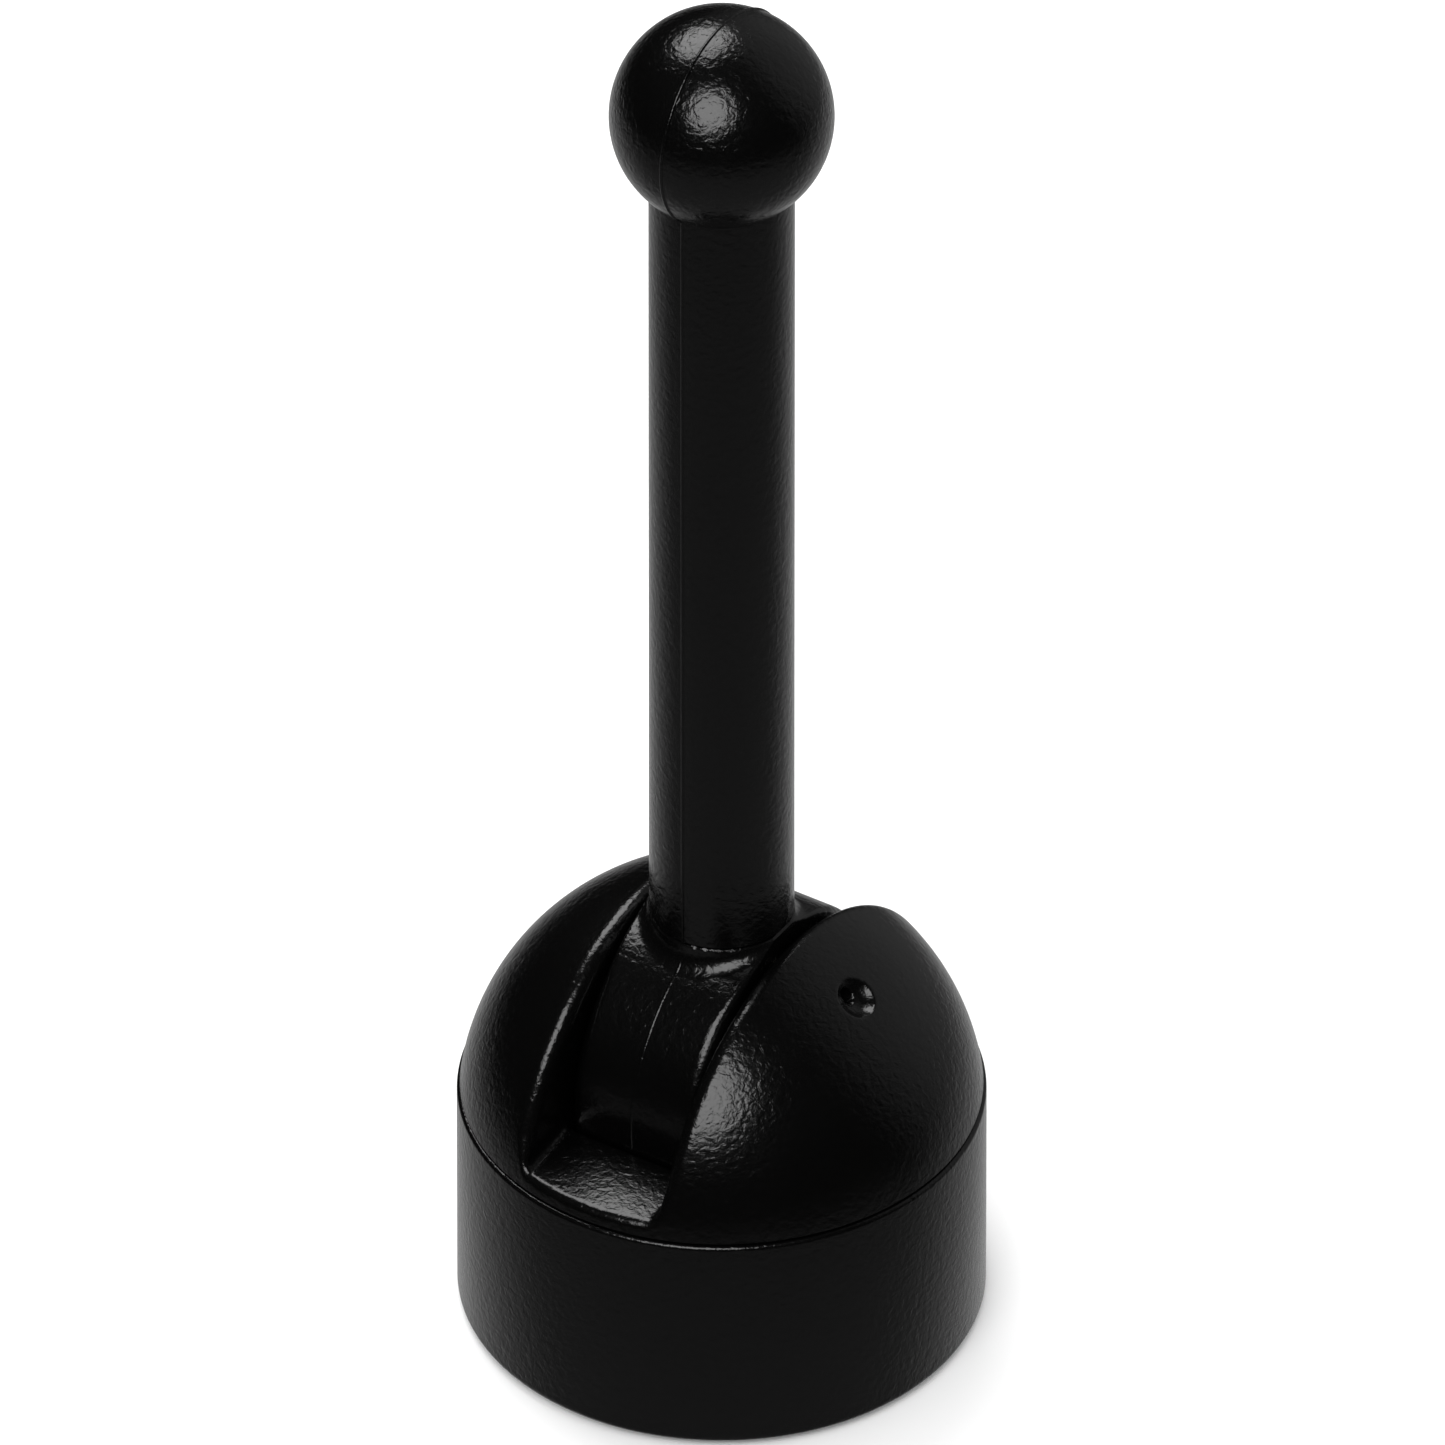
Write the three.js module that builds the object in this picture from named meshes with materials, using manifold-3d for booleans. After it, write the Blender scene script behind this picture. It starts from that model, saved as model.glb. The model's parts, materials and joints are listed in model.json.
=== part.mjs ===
// A desk-top lever joystick with a ball knob: one fore-and-aft axis, self-centring, on a weighted round base.
// Millimetres, +Z up. The origin is on the desk under the middle of the base, -Y is the front,
// and the lever's pivot axle lies along X.

import * as THREE from 'three';
import { mergeVertices } from 'three/addons/utils/BufferGeometryUtils.js';
import Module from 'manifold-3d';

const wasm = await Module();
wasm.setup();

// ---- Driving dimensions ----

const GAP = 0.3; // between pieces that meet face to face
const SNUG = 0.2; // between small pieces, and between a bush or insert and its seat
const THREAD_CLEAR = 0.15; // round a screw's thread, or a shaft in its eye
const PAST = 1; // how far a cutter runs past the face it starts from
const PLENTY = 70; // reach of a cutter that runs past the whole piece

// Base cup and dome
const BASE_R = 46.7;
const BASE_WALL = 2.5;
const BASE_EDGE = 1.2;
const FOOT_PROUD = 1; // the cup's underside stands this far above the desk
const CUP_FLOOR_TOP = 4;
const SEAM_Z = 45.3;
const DOME_R = 46.6;
const DOME_Z = 39.3; // centre of the dome's sphere
const DOME_WALL = 3;
const SKIRT_Z = 41; // bottom of the lip that locates the dome in the cup
const SKIRT_WALL = 2.3;

// Slot in the dome
const SLOT_HALF = 13.7;
const SLOT_WALL = 2.5;
const LEDGE_Z = 49.65; // top of the ledge where it meets the hub
const LEDGE_FALL = 0.0875; // drop of the ledge per millimetre outwards
const HUB_CLEAR = 0.3; // between the hub's rim and the ledge

// Hub and lever
const PIVOT_Z = 54;
const HUB_R = 29.8;
const HUB_HALF = 12.8;
const HUB_RIM_ROUND = 2.5;
const BOSS_FILLET = 4.4;
const BOSS_TOP_Z = 85;
const LEVER_R = 12.8;
const LEVER_WALL = 2.3;
const KNOB_R = 20;
const KNOB_Z = 260.5;
const LEVER_TOP_Z = 248.7;
const ROD_R = 3; // M6 tie rod
const PLUG_LONG = 12;
const INSERT_R = 4.5;
const HUB_INSERT_Z = [66, 82];
const KNOB_INSERT_Z = [250.2, 264];
const HUB_HOLLOW = { halfWide: 9.3, halfLong: 22, under: 10 }; // open underside, from this far under the pivot

// Axle, bushes and bearing caps
const AXLE_R = 3;
const AXLE_LEFT = -31;
const AXLE_RIGHT = 29.5;
const PIN_R = 1;
const PIN_Z = [46, 60];
const BUSH_R = 5;
const BUSH_BORE_R = 3.08;
const BUSH_FLANGE_R = 6.4;
const BUSH_FLANGE = 1;
const HOUSING_END = 20; // outer face of each bearing housing
const HOUSING_HALF = 13; // half its length along Y
const HOUSING_Z = [44, 61.5];
const CAP_FLANGE = 2.7;
const CAP_SCREW_Y = 9.5;
const CAP_SCREW_X = 16.9;
const CAP_SCREW_DEEP = 10;

// Self-centring spring, its arm and the end stops
const WIRE_R = 0.6;
const COIL_R = 5;
const COIL_X = [22, 25.2];
const COIL_TURNS = 2.5;
const LEG_HALF = 2.1; // half the distance between the spring's legs
const LEG_REACH = 15.5;
const ANCHOR_RADIUS = 9.3; // distance of the fixed post from the pivot
const ARM_PIN_RADIUS = 13; // distance of the arm's pin from the pivot
const POST_R = 1.2;
const ARM_X = [26, 29];
const ARM_REACH = 15.2;
const ARM_HALF = 2.6;
const ARM_EYE_R = 6;
const STOP_Y = 12.3;
const STOP_Z = 52.7;
const STOP_R = 2.4;

// Drag screw, which goes in from the slot's side, and the hollow that leads a key to it
const DRAG_Z = 75.8;
const DRAG_BOSS_R = 4.5;
const DRAG_BORE_R = 2.25;
const DRAG_SCREW_R = 2;
const DRAG_SCREW_X = [15.5, 21.5];
const DRAG_PAD_R = 1.9;
const DRAG_PAD_X = [13.1, 15.2];
const KEY_BORE_R = 1.3;
const DIMPLE_Z = 76.4; // where the middle of the hollow lies on the dome
const DIMPLE_R = 3.85;
const DIMPLE_DEPTH = 2;

// Fixing screws, feet and ballast
const PILLAR_RADIUS = 38.2;
const PILLAR_R = 4;
const PILLAR_TOP_Z = 56;
const PILLAR_ANGLES = [45, 135, 225, 315];
const FOOT_RADIUS = 36;
const FOOT_R = 6;
const FOOT_HIGH = 2;
const FOOT_ANGLES = { right: 0, rear: 90, left: 180, front: 270 };
const BALLAST_R = 33;
const BALLAST_Z = [4.3, 18.3];

// Electronics
const BOARD_R = 31.5;
const BOARD_TAB_HALF = 11;
const BOARD_Z = [20, 21.6];
const BOARD_TAB_Y = 41.5;
const BOARD_SCREW_RADIUS = 25;
const BOARD_SCREW_ANGLES = [30, 150, 270];
const USB_Z = 23.45;
const USB_HALF = [4.5, 1.65];
const USB_Y = [37.2, 45.4];
const SENSOR_X = [-36.7, -35.1];
const SENSOR_HALF = 6.8;
const SENSOR_Z = [42.4, 57];
const SENSOR_SCREW_Y = 4.8;
const SENSOR_SCREW_Z = 45;
const BRACKET_X = [-38.5, -37];
const BRACKET_HALF = 7;
const BRACKET_Z = [38.9, 40.7];
const LEAD_R = 0.9;

// ---- Shapes ----

const degrees = (angle) => (angle * Math.PI) / 180;

const onCircle = (radius, angle) => [radius * Math.cos(degrees(angle)), radius * Math.sin(degrees(angle))];

// A solid of revolution about Z. Profile points are [radius, height], going up the outside.
function turned(profile, sides = 24) {
  const points = profile.map(([radius, height]) => new THREE.Vector2(radius, height));
  return new THREE.LatheGeometry(points, sides).rotateX(Math.PI / 2);
}

// The same about an axis parallel to X, with heights along X.
function turnedX(profile, y, z, sides = 24) {
  return turned(profile, sides).rotateY(Math.PI / 2).translate(0, y, z);
}

function rod(radius, [low, high], x = 0, y = 0, sides = 16) {
  const shape = new THREE.CylinderGeometry(radius, radius, high - low, sides);
  return shape.rotateX(Math.PI / 2).translate(x, y, (low + high) / 2);
}

function rodX(radius, [low, high], y, z, sides = 16) {
  const shape = new THREE.CylinderGeometry(radius, radius, high - low, sides);
  return shape.rotateZ(Math.PI / 2).translate((low + high) / 2, y, z);
}

function rodY(radius, [low, high], x, z, sides = 16) {
  const shape = new THREE.CylinderGeometry(radius, radius, high - low, sides);
  return shape.translate(x, (low + high) / 2, z);
}

// A stretch of the X axis on one side of the middle, lowest end first.
const alongX = (side, inner, outer) => [side * inner, side * outer].sort((a, b) => a - b);

function block([x0, x1], [y0, y1], [z0, z1]) {
  const shape = new THREE.BoxGeometry(x1 - x0, y1 - y0, z1 - z0);
  return shape.translate((x0 + x1) / 2, (y0 + y1) / 2, (z0 + z1) / 2);
}

function ball(radius, z, sides = 44) {
  return new THREE.SphereGeometry(radius, sides, sides / 2).rotateX(Math.PI / 2).translate(0, 0, z);
}

// A wall of constant section: an outline in the YZ plane, extruded along X.
function profileX(outline, [low, high]) {
  const shape = new THREE.Shape(outline.map(([y, z]) => new THREE.Vector2(y, z)));
  const wall = new THREE.ExtrudeGeometry(shape, { depth: high - low, bevelEnabled: false });
  const toRow = new THREE.Matrix4().makeBasis(
    new THREE.Vector3(0, 1, 0),
    new THREE.Vector3(0, 0, 1),
    new THREE.Vector3(1, 0, 0),
  );
  return wall.applyMatrix4(toRow).translate(low, 0, 0);
}

// A round section carried along a smooth curve through the points.
function wire(points, radius, steps, sides) {
  const section = new THREE.Shape();
  for (let i = 0; i < sides; i += 1) {
    const [x, y] = onCircle(radius, (360 * i) / sides);
    if (i === 0) section.moveTo(x, y);
    else section.lineTo(x, y);
  }
  const path = new THREE.CatmullRomCurve3(points.map((p) => new THREE.Vector3(...p)));
  return new THREE.ExtrudeGeometry(section, { steps, extrudePath: path, bevelEnabled: false });
}

// ---- Cutting and joining ----

function solid(shape) {
  const bare = shape.clone();
  bare.deleteAttribute('normal');
  bare.deleteAttribute('uv');
  const merged = mergeVertices(bare, 1e-4);
  const corners = merged.index.array;
  const kept = [];
  for (let i = 0; i < corners.length; i += 3) {
    const [a, b, c] = [corners[i], corners[i + 1], corners[i + 2]];
    if (a !== b && b !== c && c !== a) kept.push(a, b, c);
  }
  return new wasm.Manifold(new wasm.Mesh({
    numProp: 3,
    vertProperties: new Float32Array(merged.attributes.position.array),
    triVerts: new Uint32Array(kept),
  }));
}

const join = (...shapes) => shapes.map(solid).reduce((sum, next) => sum.add(next));

const cut = (body, ...cutters) => cutters.map(solid).reduce((left, next) => left.subtract(next), body);

// A bar along Y whose section is a rectangle with two round ends.
function flatTube(halfWide, halfHigh, [low, high], z) {
  const wide = halfWide - halfHigh;
  return join(
    block([-wide, wide], [low, high], [z - halfHigh, z + halfHigh]),
    rodY(halfHigh, [low, high], -wide, z),
    rodY(halfHigh, [low, high], wide, z),
  );
}

function shapeOf(body) {
  const found = body.getMesh();
  const shape = new THREE.BufferGeometry();
  shape.setAttribute('position', new THREE.BufferAttribute(new Float32Array(found.vertProperties), 3));
  shape.setIndex(new THREE.BufferAttribute(new Uint32Array(found.triVerts), 1));
  shape.computeVertexNormals();
  return shape;
}

// ---- Finishes: colour, roughness, metalness ----

const FINISHES = {
  blackAbs: [0x0b0b0c, 0.32, 0],
  blackAcetal: [0x151517, 0.45, 0],
  blackPhenolic: [0x0b0b0c, 0.25, 0],
  rubber: [0x101010, 0.85, 0],
  nylon: [0xd9d6cc, 0.5, 0],
  steel: [0xa8abae, 0.35, 1],
  blackSteel: [0x1c1c1e, 0.4, 1],
  brass: [0xc5a155, 0.35, 1],
  castIron: [0x4a4b4d, 0.75, 1],
  aluminium: [0xc2c4c6, 0.4, 1],
  magnet: [0xbfc1c4, 0.25, 1],
  circuitBoard: [0x1f4a2c, 0.5, 0],
  chip: [0x17181a, 0.45, 0],
  leadJacket: [0x1a1a1c, 0.6, 0],
};

const joystick = new THREE.Group();

function piece(name, shape, finish) {
  const [color, roughness, metalness] = FINISHES[finish];
  const geometry = shape instanceof THREE.BufferGeometry ? shape : shapeOf(shape);
  const mesh = new THREE.Mesh(geometry, new THREE.MeshStandardMaterial({ color, roughness, metalness }));
  mesh.name = name;
  joystick.add(mesh);
  return mesh;
}

// ---- Screws ----

// A pan-head screw standing on its head, with a hexagon socket in the underside of the head.
function panScrew({ shankR, headR, headHigh, length, socketR, socketDeep }) {
  const body = solid(turned([
    [0, 0], [headR - 0.3, 0], [headR, 0.3], [headR, headHigh], [shankR, headHigh],
    [shankR, headHigh + length - 0.4], [shankR - 0.4, headHigh + length], [0, headHigh + length],
  ], 12));
  return cut(body, rod(socketR, [-1, socketDeep], 0, 0, 6));
}

const M3_SCREW = { shankR: 1.45, headR: 2.8, headHigh: 1.7, length: 11, socketR: 1.15, socketDeep: 1.1 };
const M25_SCREW = { shankR: 1.15, headR: 2.2, headHigh: 1.5, length: 11, socketR: 0.9, socketDeep: 0.9 };
const M25_SHORT = { ...M25_SCREW, length: 7 };
const M25_LONG = { ...M25_SCREW, length: 13 };
const M16_SCREW = { shankR: 0.7, headR: 1.4, headHigh: 0.9, length: 2.6, socketR: 0.55, socketDeep: 0.5 };
const M5_SCREW = { shankR: 2.4, headR: 4.4, headHigh: 1.9, length: 8, socketR: 1.8, socketDeep: 1.2 };

// ---- Base ----

function baseCup() {
  const rimZ = SEAM_Z - GAP / 2;
  let cup = solid(turned([
    [0, FOOT_PROUD], [BASE_R - BASE_EDGE, FOOT_PROUD], [BASE_R, FOOT_PROUD + BASE_EDGE], [BASE_R, rimZ],
    [BASE_R - BASE_WALL, rimZ], [BASE_R - BASE_WALL, CUP_FLOOR_TOP], [0, CUP_FLOOR_TOP],
  ], 64));
  for (const angle of PILLAR_ANGLES) {
    cup = cut(cup, ...counterbored(M3_SCREW, ...onCircle(PILLAR_RADIUS, angle)));
  }
  for (const angle of Object.values(FOOT_ANGLES)) {
    const [x, y] = onCircle(FOOT_RADIUS, angle);
    cup = cut(cup, rod(FOOT_R + GAP, [0, FOOT_HIGH + GAP], x, y, 20));
  }
  const clear = 0.4;
  const inlet = flatTube(USB_HALF[0] + clear, USB_HALF[1] + clear, [USB_Y[0], PLENTY], USB_Z);
  return cut(cup, ...counterbored(M5_SCREW, 0, 0)).subtract(inlet);
}

// Cutters for a screw that goes up through the cup's floor with its head sunk in the underside.
function counterbored({ shankR, headR, headHigh }, x, y) {
  const round = 0.3;
  return [
    rod(shankR + round, [0, CUP_FLOOR_TOP + PAST], x, y, 16),
    rod(headR + 0.4, [0, FOOT_PROUD + headHigh + GAP], x, y, 20),
  ];
}

function ballast() {
  const [low, high] = BALLAST_Z;
  const edge = 0.8;
  let weight = solid(turned([
    [0, low], [BALLAST_R - edge, low], [BALLAST_R, low + edge],
    [BALLAST_R, high - edge], [BALLAST_R - edge, high], [0, high],
  ], 36));
  const tapped = [high - M25_SHORT.length, high + PAST];
  for (const angle of BOARD_SCREW_ANGLES) {
    const [x, y] = onCircle(BOARD_SCREW_RADIUS, angle);
    weight = cut(weight, rod(M25_SHORT.shankR + THREAD_CLEAR, tapped, x, y, 12));
  }
  return cut(weight, rod(M5_SCREW.shankR + THREAD_CLEAR, [low - PAST, low + M5_SCREW.length]));
}

// The dome is a shell with a slot from front to back. Cheek walls and a ledge line the slot,
// bearing housings stand on the cheeks' hidden sides, and four pillars reach down to the cup's floor.
function domeShell() {
  const ledgeAt = (y) => LEDGE_Z - LEDGE_FALL * (y - HUB_R);
  const trough = (sink) => [
    [-PLENTY, ledgeAt(PLENTY) - sink], [-HUB_R, LEDGE_Z - sink], [HUB_R, LEDGE_Z - sink],
    [PLENTY, ledgeAt(PLENTY) - sink], [PLENTY, 2 * PLENTY], [-PLENTY, 2 * PLENTY],
  ];
  const shoulder = SEAM_Z + GAP / 2;
  const skirtR = BASE_R - BASE_WALL - GAP;
  const crown = solid(ball(DOME_R, DOME_Z)).intersect(solid(rod(PLENTY, [shoulder, 2 * PLENTY])));
  const outside = crown.add(solid(rod(skirtR, [SKIRT_Z, shoulder + PAST], 0, 0, 64)));
  const bore = solid(rod(skirtR - SKIRT_WALL, [SKIRT_Z - PAST, 2 * PLENTY], 0, 0, 64));
  const room = solid(ball(DOME_R - DOME_WALL, DOME_Z)).intersect(bore);
  const cheekSkin = SLOT_HALF + SLOT_WALL;
  const lining = solid(profileX(trough(SLOT_WALL), [-cheekSkin, cheekSkin]));
  let shell = outside.subtract(room.subtract(lining));
  const housingFoot = HOUSING_Z[0] - PAST;
  const seatHalf = BUSH_R + SNUG;
  for (const side of [-1, 1]) {
    const through = alongX(side, SLOT_HALF - PAST, HOUSING_END + PAST);
    const post = alongX(side, SLOT_HALF + PAST, ARM_X[0] - GAP);
    shell = shell
      .add(solid(block(alongX(side, SLOT_HALF, HOUSING_END), [-HOUSING_HALF, HOUSING_HALF], HOUSING_Z)))
      .add(solid(rodX(POST_R, post, 0, PIVOT_Z + ANCHOR_RADIUS)));
    shell = cut(
      shell,
      rodX(seatHalf, through, 0, PIVOT_Z, 32),
      block(through, [-seatHalf, seatHalf], [housingFoot, PIVOT_Z]),
      ...capScrewHoles(side, M25_SCREW.shankR + THREAD_CLEAR, [housingFoot, HOUSING_Z[0] + CAP_SCREW_DEEP]),
    );
  }
  for (const y of [-STOP_Y, STOP_Y]) {
    shell = shell.add(solid(rodX(POST_R, [HOUSING_END - PAST, ARM_X[1]], y, STOP_Z)));
  }
  for (const angle of PILLAR_ANGLES) {
    const [x, y] = onCircle(PILLAR_RADIUS, angle);
    shell = shell.add(solid(rod(PILLAR_R, [CUP_FLOOR_TOP + GAP, PILLAR_TOP_Z], x, y)));
    shell = cut(shell, rod(M3_SCREW.shankR + THREAD_CLEAR, [0, CUP_FLOOR_TOP + M3_SCREW.length], x, y, 12));
  }
  const dragBoss = solid(rodX(DRAG_BOSS_R, [SLOT_HALF, PLENTY], 0, DRAG_Z)).intersect(outside);
  const window = [-SLOT_HALF, SLOT_HALF];
  shell = cut(
    shell.add(dragBoss),
    profileX(trough(0), window),
    rodX(HUB_R + HUB_CLEAR, window, 0, PIVOT_Z, 64),
    rodX(DRAG_BORE_R, [0, DRAG_SCREW_X[1] + GAP], 0, DRAG_Z),
    rodX(KEY_BORE_R, [0, PLENTY], 0, DRAG_Z),
  );
  return shell.subtract(dimple());
}

// The two holes of one bearing cap's screws, at the same places in every piece they pass through.
function capScrewHoles(side, radius, reach) {
  return [-CAP_SCREW_Y, CAP_SCREW_Y].map((y) => rod(radius, reach, side * CAP_SCREW_X, y, 12));
}

// The shallow round hollow in the right cheek, square to the dome's skin.
function dimple() {
  const leanFrom = Math.asin((DIMPLE_Z - DOME_Z) / DOME_R);
  const radius = (DIMPLE_R ** 2 + DIMPLE_DEPTH ** 2) / (2 * DIMPLE_DEPTH);
  const out = DOME_R - DIMPLE_DEPTH + radius;
  return solid(ball(radius, 0, 32).translate(out * Math.cos(leanFrom), 0, DOME_Z + out * Math.sin(leanFrom)));
}

// ---- Lever ----

function hub() {
  const half = HUB_HALF;
  const round = HUB_RIM_ROUND;
  const rim = [0, 45, 90].map((a) => onCircle(round, a)).map(([r, x]) => [HUB_R - round + r, x]);
  const flank = half - round;
  const drum = solid(turnedX([
    [0, -half], ...rim.map(([r, x]) => [r, -flank - x]).reverse(),
    ...rim.map(([r, x]) => [r, flank + x]), [0, half],
  ], 0, PIVOT_Z, 48));
  const filletR = LEVER_R + BOSS_FILLET;
  const filletZ = Math.sqrt((HUB_R + BOSS_FILLET) ** 2 - filletR ** 2);
  const meets = degrees(180) + Math.atan2(filletZ, filletR);
  const flare = [0, 1, 2, 3, 4].map((i) => meets + ((Math.PI - meets) * i) / 4);
  const root = PIVOT_Z + HUB_R / 2;
  const boss = solid(turned([
    [0, root],
    [filletR + BOSS_FILLET * Math.cos(meets), root],
    ...flare.map((a) => [filletR + BOSS_FILLET * Math.cos(a), PIVOT_Z + filletZ + BOSS_FILLET * Math.sin(a)]),
    [LEVER_R, BOSS_TOP_Z], [0, BOSS_TOP_Z],
  ], 48)).intersect(solid(block([-half, half], [-PLENTY, PLENTY], [0, 2 * PLENTY])));
  const { halfWide, halfLong, under } = HUB_HOLLOW;
  return cut(
    drum.add(boss),
    rodX(AXLE_R + SNUG, [-PLENTY, PLENTY], 0, PIVOT_Z),
    rod(INSERT_R + SNUG, [HUB_INSERT_Z[0] - GAP, BOSS_TOP_Z + PAST]),
    rod(PIN_R + SNUG, [PIVOT_Z - under - PAST, PIN_Z[1] + GAP], 0, 0, 12),
    block([-halfWide, halfWide], [-halfLong, halfLong], [0, PIVOT_Z - under]),
  );
}

function leverTube() {
  const inner = LEVER_R - LEVER_WALL;
  const foot = BOSS_TOP_Z + GAP;
  return turned([
    [inner, foot], [LEVER_R, foot], [LEVER_R, LEVER_TOP_Z], [inner, LEVER_TOP_Z], [inner, foot],
  ], 40);
}

function knob() {
  return cut(
    solid(ball(KNOB_R, KNOB_Z, 36)),
    rod(LEVER_R + GAP, [KNOB_Z - 2 * KNOB_R, LEVER_TOP_Z + GAP], 0, 0, 40),
    rod(INSERT_R + SNUG, [KNOB_Z - KNOB_R, KNOB_INSERT_Z[1] + GAP]),
  );
}

function tubePlug([low, high]) {
  const outer = LEVER_R - LEVER_WALL - SNUG;
  const inner = ROD_R + SNUG;
  return turned([[inner, low], [outer, low], [outer, high], [inner, high], [inner, low]], 32);
}

function threadedInsert([low, high]) {
  const inner = ROD_R + THREAD_CLEAR;
  return turned([[inner, low], [INSERT_R, low], [INSERT_R, high], [inner, high], [inner, low]], 24);
}

function axle() {
  const edge = 0.4;
  const body = solid(turnedX([
    [0, AXLE_LEFT], [AXLE_R - edge, AXLE_LEFT], [AXLE_R, AXLE_LEFT + edge],
    [AXLE_R, AXLE_RIGHT - edge], [AXLE_R - edge, AXLE_RIGHT], [0, AXLE_RIGHT],
  ], 0, PIVOT_Z));
  return cut(body, rod(PIN_R + SNUG, [0, PLENTY], 0, 0, 12));
}

// The arm turns with the axle, and its pin pushes one leg of the spring while the fixed post holds the other.
function springArm(side) {
  const pin = alongX(side, COIL_X[0] - WIRE_R, ARM_X[0] + PAST);
  const body = join(
    rodX(ARM_EYE_R, alongX(side, ...ARM_X), 0, PIVOT_Z),
    block(alongX(side, ...ARM_X), [-ARM_HALF, ARM_HALF], [PIVOT_Z, PIVOT_Z + ARM_REACH]),
    rodX(POST_R, pin, 0, PIVOT_Z + ARM_PIN_RADIUS),
  );
  return cut(body, rodX(AXLE_R + THREAD_CLEAR, [-PLENTY, PLENTY], 0, PIVOT_Z));
}

// Two and a half turns of wire round the axle, whose two legs stand up on either side of post and pin.
function centringSpring(side) {
  const [inner, outer] = COIL_X;
  const perTurn = 10;
  const turnSteps = COIL_TURNS * perTurn;
  const leg = (x, way) => [
    [x, way * LEG_HALF, LEG_REACH], [x, way * LEG_HALF, LEG_REACH - 4],
    [x, way * (LEG_HALF + 0.5), LEG_REACH / 2], [x, way * (COIL_R - 0.3), COIL_R - 2],
  ];
  const points = leg(inner, -1);
  for (let i = 0; i <= turnSteps; i += 1) {
    const [y, z] = onCircle(COIL_R, 180 + (360 * i) / perTurn);
    points.push([inner + ((outer - inner) * i) / turnSteps, y, z]);
  }
  points.push(...leg(outer, 1).reverse());
  return wire(points.map(([x, y, z]) => [side * x, y, PIVOT_Z + z]), WIRE_R, 44, 5);
}

function stopBumper(y) {
  const [low, high] = [HOUSING_END + GAP, ARM_X[1]];
  const inner = POST_R + THREAD_CLEAR;
  return turnedX([[inner, low], [STOP_R, low], [STOP_R, high], [inner, high], [inner, low]], y, STOP_Z, 20);
}

// ---- Bearings ----

function bush(side) {
  const inner = SLOT_HALF + SNUG;
  const step = HOUSING_END + SNUG;
  const outer = step + BUSH_FLANGE;
  const section = [
    [BUSH_BORE_R, inner], [BUSH_R, inner], [BUSH_R, step], [BUSH_FLANGE_R, step],
    [BUSH_FLANGE_R, outer], [BUSH_BORE_R, outer], [BUSH_BORE_R, inner],
  ];
  const shape = turnedX(section, 0, PIVOT_Z);
  return side > 0 ? shape : shape.rotateZ(Math.PI);
}

function bearingCap(side) {
  const wide = alongX(side, SLOT_HALF + SNUG, HOUSING_END - SNUG);
  const top = HOUSING_Z[0] - GAP;
  const tongue = BUSH_R - 0.1;
  const body = join(
    block(wide, [-HOUSING_HALF, HOUSING_HALF], [top - CAP_FLANGE, top]),
    block(wide, [-tongue, tongue], [top - PAST, PIVOT_Z - AXLE_R - PAST]),
  );
  const saddle = rodX(BUSH_R + GAP, [-PLENTY, PLENTY], 0, PIVOT_Z, 32);
  return cut(body, saddle, ...capScrewHoles(side, M25_SCREW.shankR + GAP, [0, PLENTY]));
}

// ---- Drag screw ----

function dragScrew() {
  const [low, high] = DRAG_SCREW_X;
  const radius = DRAG_SCREW_R;
  const edge = 0.4;
  const socketR = 1.15;
  const socketDeep = 2.2;
  const body = solid(turnedX([
    [0, low], [radius - edge, low], [radius, low + edge],
    [radius, high - edge], [radius - edge, high], [0, high],
  ], 0, DRAG_Z, 20));
  return cut(body, rodX(socketR, [high - socketDeep, high + PAST], 0, DRAG_Z, 6));
}

function dragPad() {
  const [low, high] = DRAG_PAD_X;
  const radius = DRAG_PAD_R;
  const edge = 0.4;
  return turnedX([
    [0, low], [radius - edge, low], [radius, low + edge], [radius, high], [0, high],
  ], 0, DRAG_Z, 20);
}

// ---- Position sensor ----

function magnetCup() {
  const [mouth, web, floor, back] = [-33.2, -31.6, -31.2, -29.4];
  const outer = 4.5;
  const inner = AXLE_R + THREAD_CLEAR;
  return turnedX([
    [0, web], [inner, web], [inner, mouth], [outer, mouth],
    [outer, back], [inner, back], [inner, floor], [0, floor],
  ], 0, PIVOT_Z, 24);
}

// A shelf under the left bearing cap, with an upright plate for the sensor board beside the axle's end.
function sensorBracket() {
  const [low, high] = BRACKET_Z;
  const shelfEnd = -HOUSING_END + SNUG;
  const body = join(
    block([shelfEnd, -SLOT_HALF - GAP], [-HOUSING_HALF, HOUSING_HALF], [low, high]),
    block([BRACKET_X[0], shelfEnd + PAST], [-BRACKET_HALF, BRACKET_HALF], [low, high]),
    block(BRACKET_X, [-BRACKET_HALF, BRACKET_HALF], [high - PAST, SENSOR_Z[1]]),
  );
  const leadSlot = block([SENSOR_X[0] + GAP, SENSOR_X[0] + 5.5], [-2.5, 2.5], [0, high + PAST]);
  return cut(
    body,
    ...capScrewHoles(-1, M25_SCREW.shankR + GAP, [0, PLENTY]),
    leadSlot,
    ...sensorScrewHoles(M16_SCREW.shankR + THREAD_CLEAR),
  );
}

const sensorScrewHoles = (radius) => [-SENSOR_SCREW_Y, SENSOR_SCREW_Y].map(
  (y) => rodX(radius, [-PLENTY, AXLE_LEFT], y, SENSOR_SCREW_Z, 12),
);

function sensorBoard() {
  const board = solid(block(SENSOR_X, [-SENSOR_HALF, SENSOR_HALF], SENSOR_Z));
  return cut(board, ...sensorScrewHoles(M16_SCREW.shankR + SNUG));
}

// A lead that drops from the sensor board's connector, passes the bracket's slot and ends in the main board's.
function sensorLead() {
  const route = [
    [-33.7, 0, 42.6], [-33.7, 0, 38], [-33.2, -1, 33.5], [-30.5, -3.5, 30], [-27, -5.7, 28], [-26, -6, 26.5],
    [-26, -6, 25.3],
  ];
  return wire(route, LEAD_R, 20, 6);
}

// ---- Main board ----

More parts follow.
